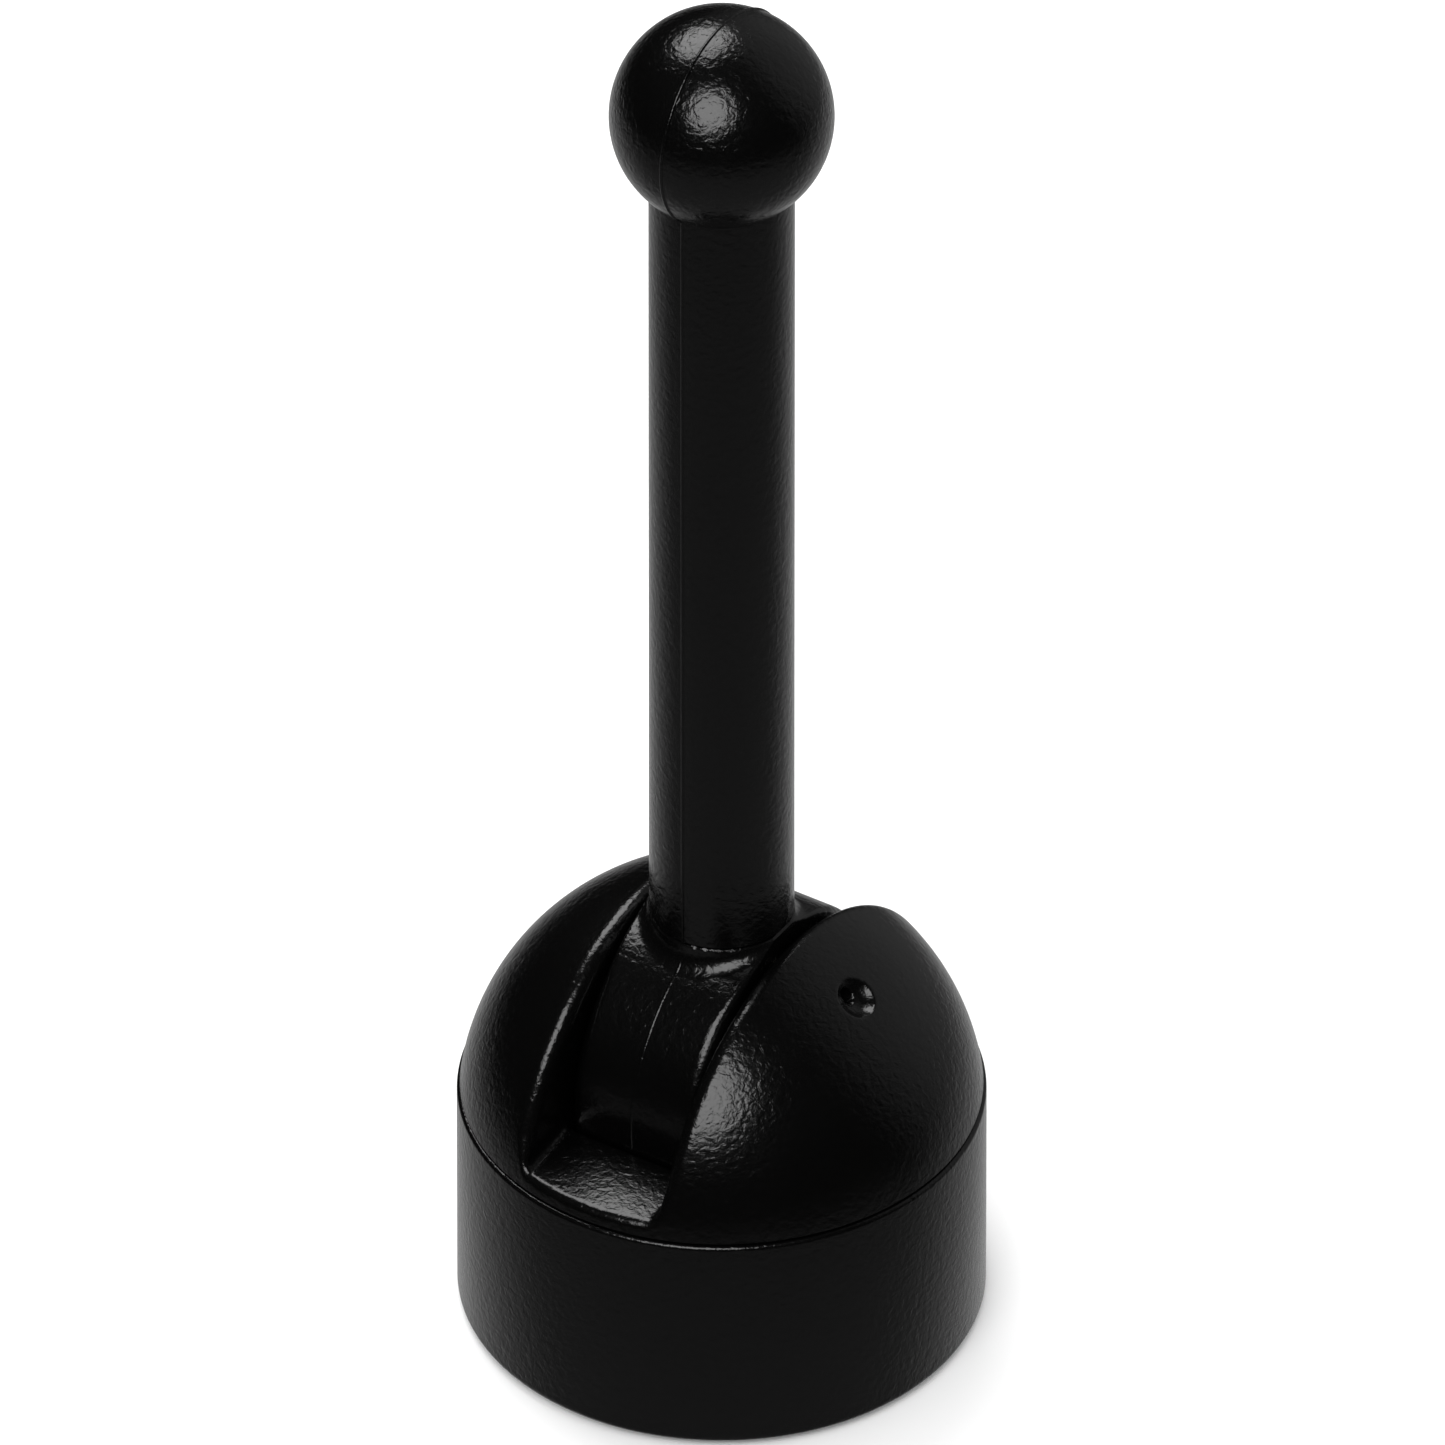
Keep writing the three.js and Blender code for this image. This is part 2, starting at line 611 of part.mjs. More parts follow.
function mainBoard() {
  const [low, high] = BOARD_Z;
  const disc = rod(BOARD_R, [low, high], 0, 0, 48);
  let board = join(disc, block([-BOARD_TAB_HALF, BOARD_TAB_HALF], [0, BOARD_TAB_Y], [low, high]));
  for (const angle of BOARD_SCREW_ANGLES) {
    const [x, y] = onCircle(BOARD_SCREW_RADIUS, angle);
    board = cut(board, rod(M25_SHORT.shankR + GAP, [0, PLENTY], x, y, 12));
  }
  return board;
}

function usbSocket() {
  const [back, front] = USB_Y;
  const skin = 0.3;
  const [halfWide, halfHigh] = USB_HALF;
  const tongueWide = 3.3;
  const tongueHigh = 0.35;
  const shell = flatTube(halfWide, halfHigh, [back, front], USB_Z);
  const mouth = flatTube(halfWide - skin, halfHigh - skin, [back + PAST, front + PAST], USB_Z);
  const tongueZ = [USB_Z - tongueHigh, USB_Z + tongueHigh];
  const tongue = solid(block([-tongueWide, tongueWide], [back, front - PAST], tongueZ));
  return shell.subtract(mouth).add(tongue);
}

function boardSpacer() {
  const [low, high] = [BALLAST_Z[1] + SNUG, BOARD_Z[0] - SNUG];
  const inner = M25_SHORT.shankR + GAP;
  const outer = 2.6;
  return turned([[inner, low], [outer, low], [outer, high], [inner, high], [inner, low]], 20);
}

// ---- Assembly ----

// Turns a screw head-up, with the underside of its head at the given height.
function headUp(mesh, z, x, y, screw) {
  mesh.rotation.x = Math.PI;
  mesh.position.set(x, y, z + screw.headHigh);
}

piece('base_cup', baseCup(), 'blackAbs');
piece('ballast_weight', ballast(), 'castIron');
piece('ballast_screw', panScrew(M5_SCREW), 'steel').position.z = FOOT_PROUD + SNUG;
for (const [place, angle] of Object.entries(FOOT_ANGLES)) {
  const edge = 0.5;
  const foot = turned([[0, 0], [FOOT_R - edge, 0], [FOOT_R, edge], [FOOT_R, FOOT_HIGH], [0, FOOT_HIGH]], 20);
  piece(`foot_${place}`, foot, 'rubber').position.set(...onCircle(FOOT_RADIUS, angle), 0);
}

piece('main_board', mainBoard(), 'circuitBoard');
BOARD_SCREW_ANGLES.forEach((angle, i) => {
  const [x, y] = onCircle(BOARD_SCREW_RADIUS, angle);
  piece(`board_spacer_${i + 1}`, boardSpacer(), 'nylon').position.set(x, y, 0);
  headUp(piece(`board_screw_${i + 1}`, panScrew(M25_SHORT), 'steel'), BOARD_Z[1] + SNUG, x, y, M25_SHORT);
});
piece('controller_chip', block([-5, 5], [10, 20], [BOARD_Z[1] + SNUG, 23]), 'chip');
piece('board_connector', block([-29, -23], [-9, -3], [BOARD_Z[1] + SNUG, 24.8]), 'nylon');
piece('usb_socket', usbSocket(), 'steel');

piece('dome_shell', domeShell(), 'blackAbs');
PILLAR_ANGLES.forEach((angle, i) => {
  const [x, y] = onCircle(PILLAR_RADIUS, angle);
  piece(`dome_screw_${i + 1}`, panScrew(M3_SCREW), 'blackSteel').position.set(x, y, FOOT_PROUD + SNUG);
});

for (const [place, side] of [['left', -1], ['right', 1]]) {
  piece(`bush_${place}`, bush(side), 'blackAcetal');
  piece(`bearing_cap_${place}`, bearingCap(side), 'blackAcetal');
  const under = side < 0 ? BRACKET_Z[0] : HOUSING_Z[0] - GAP - CAP_FLANGE;
  const screw = side < 0 ? M25_LONG : M25_SCREW;
  for (const [end, y] of [['front', -CAP_SCREW_Y], ['rear', CAP_SCREW_Y]]) {
    const head = under - GAP - screw.headHigh;
    piece(`cap_screw_${place}_${end}`, panScrew(screw), 'steel').position.set(side * CAP_SCREW_X, y, head);
  }
  piece(`spring_arm_${place}`, springArm(side), 'steel');
  piece(`centring_spring_${place}`, centringSpring(side), 'steel');
}
piece('stop_bumper_front', stopBumper(-STOP_Y), 'rubber');
piece('stop_bumper_rear', stopBumper(STOP_Y), 'rubber');

piece('hub', hub(), 'blackAbs');
piece('axle', axle(), 'steel');
piece('axle_pin', rod(PIN_R, PIN_Z, 0, 0, 12), 'steel');
piece('hub_insert', threadedInsert(HUB_INSERT_Z), 'brass');
piece('tie_rod', rod(ROD_R, [HUB_INSERT_Z[0] + SNUG, KNOB_INSERT_Z[1] - SNUG]), 'steel');
piece('lever_tube', leverTube(), 'blackAbs');
piece('tube_plug_lower', tubePlug([BOSS_TOP_Z + 2 * GAP, BOSS_TOP_Z + PLUG_LONG]), 'nylon');
piece('tube_plug_upper', tubePlug([LEVER_TOP_Z - PLUG_LONG, LEVER_TOP_Z - GAP]), 'nylon');
piece('ball_knob', knob(), 'blackPhenolic');
piece('knob_insert', threadedInsert(KNOB_INSERT_Z), 'brass');

piece('drag_screw', dragScrew(), 'blackSteel');
piece('drag_pad', dragPad(), 'nylon');

piece('magnet_cup', magnetCup(), 'aluminium');
piece('magnet', rodX(AXLE_R - 0.1, [-33.1, -31.8], 0, PIVOT_Z), 'magnet');
piece('sensor_bracket', sensorBracket(), 'aluminium');
piece('sensor_board', sensorBoard(), 'circuitBoard');
const boardFace = SENSOR_X[1] + 0.1;
piece('sensor_chip', block([boardFace, boardFace + 0.9], [-2.5, 2.5], [51.5, 56.5]), 'chip');
piece('sensor_connector', block([boardFace, boardFace + 2.6], [-2.9, 2.9], [43, 46.6]), 'nylon');
for (const [place, y] of [['front', -SENSOR_SCREW_Y], ['rear', SENSOR_SCREW_Y]]) {
  const screw = piece(`sensor_screw_${place}`, panScrew(M16_SCREW), 'steel');
  screw.rotation.y = -Math.PI / 2;
  screw.position.set(boardFace + M16_SCREW.headHigh, y, SENSOR_SCREW_Z);
}
piece('sensor_lead', sensorLead(), 'leadJacket');

export default joystick;
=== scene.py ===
import json
import math

import bmesh
import bpy
import numpy as np
import openvdb
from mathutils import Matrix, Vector


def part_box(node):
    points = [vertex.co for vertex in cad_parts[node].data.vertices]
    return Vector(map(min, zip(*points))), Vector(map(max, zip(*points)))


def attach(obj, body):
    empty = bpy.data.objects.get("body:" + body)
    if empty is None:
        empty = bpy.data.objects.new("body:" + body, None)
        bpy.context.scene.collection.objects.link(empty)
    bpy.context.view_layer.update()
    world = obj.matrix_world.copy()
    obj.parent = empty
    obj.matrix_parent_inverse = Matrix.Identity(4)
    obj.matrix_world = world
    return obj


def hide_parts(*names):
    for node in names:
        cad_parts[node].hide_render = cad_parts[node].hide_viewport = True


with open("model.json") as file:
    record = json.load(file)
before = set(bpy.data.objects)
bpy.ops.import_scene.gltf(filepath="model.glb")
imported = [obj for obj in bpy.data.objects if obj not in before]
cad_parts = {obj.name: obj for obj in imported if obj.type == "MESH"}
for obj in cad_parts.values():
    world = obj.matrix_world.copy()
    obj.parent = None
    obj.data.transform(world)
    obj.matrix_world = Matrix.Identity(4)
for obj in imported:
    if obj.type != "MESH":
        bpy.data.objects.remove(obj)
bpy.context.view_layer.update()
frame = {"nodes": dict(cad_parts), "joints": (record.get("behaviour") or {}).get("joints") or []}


# ---- Ballast ----
# A cast iron disc screwed to the floor of the base, so that the joystick stands firm with its lever far
# over. Sand cast, then faced on top. The M5 screw that holds it is bright zinc-plated steel.

MM = 0.001


def linear(code):
    """An sRGB hex colour as the linear colour that a shader socket takes."""
    channels = [int(code[i : i + 2], 16) / 255 for i in (1, 3, 5)]
    return [c / 12.92 if c <= 0.04045 else ((c + 0.055) / 1.055) ** 2.4 for c in channels] + [1]


def add(tree, kind, values=None, links=None, **settings):
    """One shader node: its settings, the constants on its sockets, and the sockets that feed it."""
    node = tree.nodes.new("ShaderNode" + kind)
    for name, value in settings.items():
        setattr(node, name, value)
    for socket, value in (values or {}).items():
        node.inputs[socket].default_value = value
    for socket, source in (links or {}).items():
        tree.links.new(source, node.inputs[socket])
    return node


def start_material(name, **values):
    """A new material with one Principled surface, and its node tree."""
    material = bpy.data.materials.new(name)
    material.use_nodes = True
    surface = material.node_tree.nodes["Principled BSDF"]
    for socket, value in values.items():
        surface.inputs[socket.replace("_", " ")].default_value = value
    return material, material.node_tree, surface


def mottle(tree, surface, colours, patch, roughness, relief):
    """Two close colours in patches, roughness that follows them, and a fine relief, sized in millimetres.

    relief is a list of (grain width, height) pairs, coarsest first.
    """
    place = add(tree, "TexCoord").outputs["Object"]
    patches = add(tree, "TexNoise", {"Scale": 1 / (patch * MM), "Detail": 4.0}, {"Vector": place})
    follows = patches.outputs["Fac"]
    ends = {6: linear(colours[0]), 7: linear(colours[1])}
    shade = add(tree, "Mix", ends, {0: follows}, data_type="RGBA")
    tree.links.new(shade.outputs[2], surface.inputs["Base Color"])
    limits = {"To Min": roughness[0], "To Max": roughness[1]}
    rough = add(tree, "MapRange", limits, {"Value": follows})
    tree.links.new(rough.outputs["Result"], surface.inputs["Roughness"])
    normal = None
    for width, height in relief:
        swirl = {"Scale": 1 / (width * MM), "Detail": 2.0, "Distortion": 0.6}
        grain = add(tree, "TexNoise", swirl, {"Vector": place})
        links = {"Height": grain.outputs["Fac"]}
        if normal:
            links["Normal"] = normal
        normal = add(tree, "Bump", {"Distance": height * MM, "Strength": 1.0}, links).outputs["Normal"]
    tree.links.new(normal, surface.inputs["Normal"])


def dress(material, *nodes):
    """Gives CAD nodes that stay in view their finish."""
    for name in nodes:
        mesh = frame["nodes"][name].data
        mesh.materials.clear()
        mesh.materials.append(material)


# Sand-cast iron: the grit of the mould leaves a dull dark grey pitted skin.
cast_iron, tree, surface = start_material("sand_cast_iron", Metallic=1.0)
mottle(tree, surface, ["#4b4c4e", "#5c5b58"], 3.0, [0.55, 0.8], [[0.9, 0.12], [0.3, 0.04]])
dress(cast_iron, "ballast_weight")

# Zinc-plated steel: a bright grey, slightly cloudy where the plating varies.
zinc_steel, tree, surface = start_material("zinc_plated_steel", Metallic=1.0)
mottle(tree, surface, ["#b9bcbe", "#a7abb0"], 1.2, [0.24, 0.4], [[0.25, 0.006]])
dress(zinc_steel, "ballast_screw")


# ---- Base cup ----
# The round lower shell, injection moulded in black ABS. Its rim and lower edge are rounded, its underside
# takes the feet and the sunk heads of five screws, and the rear wall has the opening for the USB-C socket.

SEGMENTS = 256
SMALL_SEGMENTS = 64


def rounded(corners, steps=6):
    """An outline through [radius, height, rounding] corners, with each corner turned on an arc."""
    points = []
    for i, (r, h, rounding) in enumerate(corners):
        here = np.array([r, h])
        if rounding == 0 or i in (0, len(corners) - 1):
            points.append(here)
            continue
        back = np.array(corners[i - 1][:2]) - here
        ahead = np.array(corners[i + 1][:2]) - here
        back, ahead = back / np.linalg.norm(back), ahead / np.linalg.norm(ahead)
        half = math.acos(np.clip(back @ ahead, -1, 1)) / 2
        middle = (back + ahead) / np.linalg.norm(back + ahead)
        centre = here + middle * rounding / math.sin(half)
        start = here + back * rounding / math.tan(half) - centre
        end = here + ahead * rounding / math.tan(half) - centre
        sweep = math.pi - 2 * half
        for k in range(steps + 1):
            t = k / steps
            spoke = math.sin((1 - t) * sweep) * start + math.sin(t * sweep) * end
            points.append(centre + spoke / math.sin(sweep))
    return points


def arc(centre, radius, start, end, steps):
    """Points on an arc, as [across, up], between two angles in degrees."""
    angles = np.radians(np.linspace(start, end, steps + 1))
    return [np.array(centre) + radius * np.array([math.cos(a), math.sin(a)]) for a in angles]


def new_piece(name, points, faces):
    """A mesh object from points in millimetres, smooth but for its real edges."""
    mesh = bpy.data.meshes.new(name)
    mesh.from_pydata((np.asarray(points) * MM).tolist(), [], [list(map(int, f)) for f in faces])
    mesh.validate()
    piece = bpy.data.objects.new(name, mesh)
    bpy.context.scene.collection.objects.link(piece)
    soften(piece)
    return piece


def soften(piece, angle=32):
    """Shades a piece smooth, except over edges sharper than an angle in degrees."""
    piece.data.shade_smooth()
    piece.data.set_sharp_from_angle(angle=math.radians(angle))


def turned(name, profile, angles=None, centre=(0, 0, 0), axis="z", swell=None):
    """A solid of revolution from [radius, height] points up its outside, from axis to axis or closed.

    swell gives the extra radius at each angle, for a raised line along the piece.
    """
    angles = np.linspace(0, 2 * math.pi, SEGMENTS, endpoint=False) if angles is None else angles
    profile = [np.asarray(p, float) for p in profile]
    closed = np.allclose(profile[0], profile[-1])
    if closed:
        profile = profile[:-1]
    count = len(angles)
    points, rings = [], []
    for radius, height in profile:
        if radius < 1e-6:
            rings.append([len(points)])
            points.append([0, 0, height])
            continue
        reach = radius + (swell(angles, radius) if swell else 0)
        rings.append(list(range(len(points), len(points) + count)))
        ring = [reach * np.cos(angles), reach * np.sin(angles), np.full(count, height)]
        points += np.column_stack(ring).tolist()
    faces = []
    pairs = list(zip(rings, rings[1:])) + ([(rings[-1], rings[0])] if closed else [])
    for low, high in pairs:
        for i in range(count):
            j = (i + 1) % count
            if len(low) == 1:
                faces.append([low[0], high[j], high[i]])
            elif len(high) == 1:
                faces.append([low[i], low[j], high[0]])
            else:
                faces.append([low[i], low[j], high[j], high[i]])
    points = np.array(points)
    if axis == "x":
        points = points[:, [2, 0, 1]]
    return new_piece(name, points + np.array(centre), faces)


def extent(node):
    """A CAD node's lowest and highest corners, in millimetres."""
    low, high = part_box(node)
    return np.array(low) / MM, np.array(high) / MM


def carve(piece, *cutters):
    """Cuts the cutters out of the piece and removes them."""
    for cutter in cutters:
        step = piece.modifiers.new("carve", "BOOLEAN")
        step.operation = "DIFFERENCE"
        step.solver = "EXACT"
        step.object = cutter
    bpy.context.view_layer.update()
    shape = bpy.data.meshes.new_from_object(piece.evaluated_get(bpy.context.evaluated_depsgraph_get()))
    piece.modifiers.clear()
    piece.data = shape
    for cutter in cutters:
        bpy.data.objects.remove(cutter)
    soften(piece)


def plug(name, radius, low, high, x=0, y=0):
    """A plain round cutter along Z."""
    outline = [[0, low], [radius, low], [radius, high], [0, high]]
    return turned(name, outline, np.linspace(0, 2 * math.pi, SMALL_SEGMENTS, endpoint=False), (x, y, 0))


cup_low, cup_high = extent("base_cup")
cup_radius, cup_foot, cup_rim = cup_high[0], cup_low[2], cup_high[2]
cup_wall, cup_floor = 2.5, 3.0
lower_edge, rim_edge, inner_rim_edge, floor_fillet = 1.6, 0.8, 0.3, 0.8
base_cup = turned(
    "base_cup",
    rounded([
        [0, cup_foot, 0],
        [cup_radius, cup_foot, lower_edge],
        [cup_radius, cup_rim, rim_edge],
        [cup_radius - cup_wall, cup_rim, inner_rim_edge],
        [cup_radius - cup_wall, cup_foot + cup_floor, floor_fillet],
        [0, cup_foot + cup_floor, 0],
    ]),
)
feet = ["foot_front", "foot_left", "foot_rear", "foot_right"]
foot_clear, head_clear, socket_clear = 0.3, 0.4, 0.4
head_depth, shank_share = 1.9, 0.6
cut_from, cut_past = -1, 2
cutters = []
for foot in feet:
    low, high = extent(foot)
    x, y, _ = (low + high) / 2
    cutters.append(plug("recess", (high[0] - low[0]) / 2 + foot_clear, cut_from, high[2] + foot_clear, x, y))
for screw in ["dome_screw_1", "dome_screw_2", "dome_screw_3", "dome_screw_4", "ballast_screw"]:
    low, high = extent(screw)
    x, y, _ = (low + high) / 2
    head = (high[0] - low[0]) / 2
    cutters.append(plug("counterbore", head + head_clear, cut_from, low[2] + head_depth, x, y))
    cutters.append(plug("hole", head * shank_share, cut_from, cup_floor + cut_past, x, y))
usb_low, usb_high = extent("usb_socket")
usb_wide, _, usb_tall = (usb_high - usb_low) / 2 + socket_clear
usb_z = (usb_low[2] + usb_high[2]) / 2
end_steps = 12
stadium = arc([usb_wide - usb_tall, 0], usb_tall, -90, 90, end_steps)
stadium += arc([usb_tall - usb_wide, 0], usb_tall, 90, 270, end_steps)
near, far = cup_radius - 6, cup_radius + 4
inlet = [[x, y, usb_z + z] for y in (near, far) for x, z in reversed(stadium)]
count = len(stadium)
inlet_faces = [[i, (i + 1) % count, count + (i + 1) % count, count + i] for i in range(count)]
inlet_faces += [list(range(count))[::-1], list(range(count, 2 * count))]
cutters.append(new_piece("inlet", inlet, inlet_faces))
carve(base_cup, *cutters)

# Black ABS from a mould with a lightly sparked skin: the eye sees near black with broken highlights. The
# peel is about a millimetre across, the fine grain a third of that.
black_abs, tree, surface = start_material("black_abs_orange_peel", IOR=1.52)
mottle(tree, surface, ["#020202", "#030303"], 14.0, [0.17, 0.21], [[1.3, 0.13], [0.4, 0.01]])
base_cup.data.materials.append(black_abs)
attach(base_cup, "base")
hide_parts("base_cup")


# ---- Feet ----
# Four round rubber feet, pressed and glued into the recesses of the underside. Compression moulded, with a
# soft edge and a shallow dish, so that they grip.

# Rubber: matt, and a shade lighter than the plastic.
black_rubber, tree, surface = start_material("moulded_black_rubber", IOR=1.52)
mottle(tree, surface, ["#0e0e0e", "#151414"], 2.5, [0.72, 0.9], [[0.5, 0.03]])
dish_depth, land, slope = 0.25, 1.4, 0.8
foot_segments = 72
for name in feet:
    low, high = extent(name)
    x, y, _ = (low + high) / 2
    foot_radius, bottom, top = (high[0] - low[0]) / 2, low[2], high[2]
    outline = rounded([
        [0, bottom + dish_depth, 0],
        [foot_radius - land - slope, bottom + dish_depth, 0.6],
        [foot_radius - land, bottom, 0.5],
        [foot_radius, bottom, 0.45],
        [foot_radius, top, 0.15],
        [0, top, 0],
    ])
    around = np.linspace(0, 2 * math.pi, foot_segments, endpoint=False)
    foot = turned(name + "_rubber", outline, around, (x, y, 0))
    foot.data.materials.append(black_rubber)
    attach(foot, "base")
    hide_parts(name)


# ---- Boards and USB-C socket ----
# A round main board on nylon spacers over the ballast, with its controller, the sensor lead's plug, and the
# USB-C socket at its rear tab. Green solder mask, moulded chips, nickel-plated socket shell.

# Glass-epoxy board: the solder mask is a green lacquer with a low sheen.
solder_mask, tree, surface = start_material("green_solder_mask", IOR=1.5)
mottle(tree, surface, ["#1d4a2b", "#255734"], 4.0, [0.28, 0.4], [[0.6, 0.01]])
dress(solder_mask, "main_board", "sensor_board")

# Moulded epoxy: chips are a dull black with a sparked skin.
chip_epoxy, tree, surface = start_material("moulded_chip_epoxy", IOR=1.55)
mottle(tree, surface, ["#141415", "#1a1a1b"], 1.5, [0.45, 0.6], [[0.12, 0.006]])
dress(chip_epoxy, "controller_chip", "sensor_chip")

# Natural nylon: a milky off-white, satin from the mould.
natural_nylon, tree, surface = start_material("natural_nylon", IOR=1.53, Subsurface_Weight=0.2)
surface.inputs["Subsurface Radius"].default_value = [0.0012, 0.001, 0.0008]
surface.inputs["Subsurface Scale"].default_value = 1.0
mottle(tree, surface, ["#dcd8ca", "#cfcab9"], 5.0, [0.4, 0.55], [[0.4, 0.008]])
dress(natural_nylon, "board_spacer_1", "board_spacer_2", "board_spacer_3", "board_connector")
dress(natural_nylon, "sensor_connector", "drag_pad", "tube_plug_lower", "tube_plug_upper")
dress(zinc_steel, "board_screw_1", "board_screw_2", "board_screw_3")

# Nickel on steel: the socket's drawn shell is bright and slightly warm.
nickel, tree, surface = start_material("nickel_plate", Metallic=1.0)
mottle(tree, surface, ["#c6c3bb", "#b5b2ab"], 2.0, [0.16, 0.28], [[0.2, 0.003]])
dress(nickel, "usb_socket", "magnet")


# ---- Dome shell ----
# The upper shell, one black ABS moulding: a dome with a slot from front to back, a ledge at each end of the
# slot, and the hollow in the right cheek over the drag screw. Four screws from below pull it into the cup.

CELL = 0.55
SLOPE_STEP = 0.01


def rounded_cut(a, b, rounding):
    """The distance to where two solids both are, with the edge between their skins rounded."""
    inside = np.minimum(np.maximum(a, b), -rounding)
    return inside + np.hypot(np.maximum(a + rounding, 0), np.maximum(b + rounding, 0))


def rounded_join(a, b, rounding):
    """The distance to where either solid is, with a fillet in the corner between them."""
    outside = np.maximum(np.minimum(a, b), rounding)
    return outside - np.hypot(np.maximum(rounding - a, 0), np.maximum(rounding - b, 0))


def slope_of(field, points):
    """Which way the distance grows fastest, at each point."""
    slope = np.stack([field(points + s) - field(points - s) for s in np.eye(3) * SLOPE_STEP], axis=1)
    return slope / np.maximum(np.linalg.norm(slope, axis=1, keepdims=True), 1e-12)


def settle(field, points, rounds=3):
    """Moves points along the slope until they lie on the skin, where the distance is nought."""
    for _ in range(rounds):
        points = points - np.clip(field(points), -CELL, CELL)[:, None] * slope_of(field, points)
    return points


def skin(field, low, high, cell=CELL, passes=6):
    """Points and four-sided faces over the zero of a distance field, evened out and laid on it."""
    axes = [np.arange(start, end + cell, cell) for start, end in zip(low, high)]
    places = np.stack(np.meshgrid(*axes, indexing="ij"), axis=-1)
    band = 3 * cell
    near = np.clip(field(places.reshape(-1, 3)), -band, band).reshape(places.shape[:3])
    volume = openvdb.FloatGrid(band)
    volume.copyFromArray(near.astype(np.float32))
    points, _, faces = volume.convertToPolygons(0.0, 0.0)
    points = settle(field, points.astype(float) * cell + np.array(low))
    faces = faces.astype(int)
    ends = np.concatenate([faces[:, [i, (i + 1) % 4]] for i in range(4)])
    ends = np.concatenate([ends, ends[:, ::-1]])
    share = np.bincount(ends[:, 0], minlength=len(points))[:, None]
    for _ in range(passes):
        total = np.zeros_like(points)
        np.add.at(total, ends[:, 0], points[ends[:, 1]])
        points = settle(field, points + 0.5 * (total / share - points), 1)
    points = settle(field, points)
    first = faces[0]
    facing = np.cross(points[first[1]] - points[first[0]], points[first[2]] - points[first[1]])
    if facing @ slope_of(field, points[first[:1]])[0] < 0:
        faces = faces[:, ::-1]
    return points, faces


def shade_by(piece, field, limit=35):
    """Takes each corner's normal from the field wherever the face lies on its skin."""
    mesh = piece.data
    points = np.empty(len(mesh.vertices) * 3)
    mesh.vertices.foreach_get("co", points)
    slope = slope_of(field, points.reshape(-1, 3) / MM)
    corners = np.empty(len(mesh.loops), int)
    mesh.loops.foreach_get("vertex_index", corners)
    flat = np.empty(len(mesh.polygons) * 3)
    mesh.polygons.foreach_get("normal", flat)
    sizes = np.empty(len(mesh.polygons), int)
    mesh.polygons.foreach_get("loop_total", sizes)
    flat = np.repeat(flat.reshape(-1, 3), sizes, axis=0)
    kept = np.array([n.vector for n in mesh.corner_normals])
    wanted = slope[corners]
    agree = (wanted * flat).sum(axis=1) > math.cos(math.radians(limit))
    mesh.normals_split_custom_set(np.where(agree[:, None], wanted, kept).tolist())


PIVOT = np.array(frame["joints"][0]["pos_m"]) / MM
hub_low, hub_high = extent("hub")
screw_low, screw_high = extent("drag_screw")
hub_radius, hub_half = PIVOT[2] - hub_low[2], hub_high[0]
screw_z = (screw_low[2] + screw_high[2]) / 2
dome_radius, dome_centre, dome_wall = 46.6, 39.3, 3.0
slot_half, slot_skin, slot_fillet = 13.7, 2.5, 1.9
slot_edge_low, slot_edge_high, slot_edge_rise = 1.3, 3.2, 5
ledge_z, ledge_fall, ledge_edge = 49.65, 0.0875, 0.7
running_gap = 0.3
shoulder = cup_rim + 0.3
skirt_gap, skirt_wall, skirt_low, skirt_edge = 0.3, 2.3, 41.0, 0.4
skirt_out = cup_radius - cup_wall - skirt_gap
skirt_in = skirt_out - skirt_wall
hollow_radius, hollow_depth, hollow_z, hollow_edge = 3.95, 2.0, 76.4, 0.3
screw_hole, key_radius, hole_edge, boss_radius = 2.25, 1.3, 0.15, 4.5
lean = math.asin((hollow_z - dome_centre) / dome_radius)
bowl = (hollow_radius**2 + hollow_depth**2) / (2 * hollow_depth)
away = dome_radius - hollow_depth + bowl


def dome_field(p):
    """How far each point is outside the dome shell, in millimetres."""
    x, y, z = p.T
    sphere = np.sqrt(x**2 + y**2 + (z - dome_centre) ** 2) - dome_radius
    ledge = (z - ledge_z + ledge_fall * (np.abs(y) - hub_radius)) / math.hypot(1, ledge_fall)
    axle_line = np.hypot(y, z - PIVOT[2])
    floor = rounded_cut(ledge, hub_radius + running_gap - axle_line, ledge_edge)
    lining = rounded_join(slot_half - np.abs(x), floor, slot_fillet)
    edge = np.interp(z, [ledge_z, ledge_z + slot_edge_rise], [slot_edge_low, slot_edge_high])
    shell = rounded_cut(sphere, lining, edge)
    out, up = x - away * math.cos(lean), z - dome_centre - away * math.sin(lean)
    shell = rounded_cut(shell, bowl - np.sqrt(out**2 + y**2 + up**2), hollow_edge)
    boss = np.where(x > 0, np.hypot(y, z - screw_z), dome_radius)
    hole = np.where(x < screw_high[0] + running_gap, screw_hole, key_radius)
    shell = rounded_cut(shell, hole - boss, hole_edge)
    backing = np.maximum(np.abs(x) - slot_half - slot_skin, -ledge - slot_skin)
    room = np.maximum(sphere + dome_wall, np.hypot(x, y) - skirt_in)
    room = np.maximum(room, np.maximum(-backing, boss_radius - boss))
    return np.maximum(shell, -room)


rim_round, skirt_depth = 0.35, 2.5
rim_start = shoulder + rim_round
half_box, box_top = dome_radius + 1, 86.0
box_low = [-half_box, -half_box, shoulder - skirt_depth]
points, faces = skin(dome_field, box_low, [half_box, half_box, box_top])
dome = new_piece("dome_shell_abs", points, faces)
work = bmesh.new()
work.from_mesh(dome.data)
bmesh.ops.bisect_plane(
    work,
    geom=work.verts[:] + work.edges[:] + work.faces[:],
    dist=1e-7,
    plane_co=(0, 0, rim_start * MM),
    plane_no=(0, 0, 1),
    clear_inner=True,
)


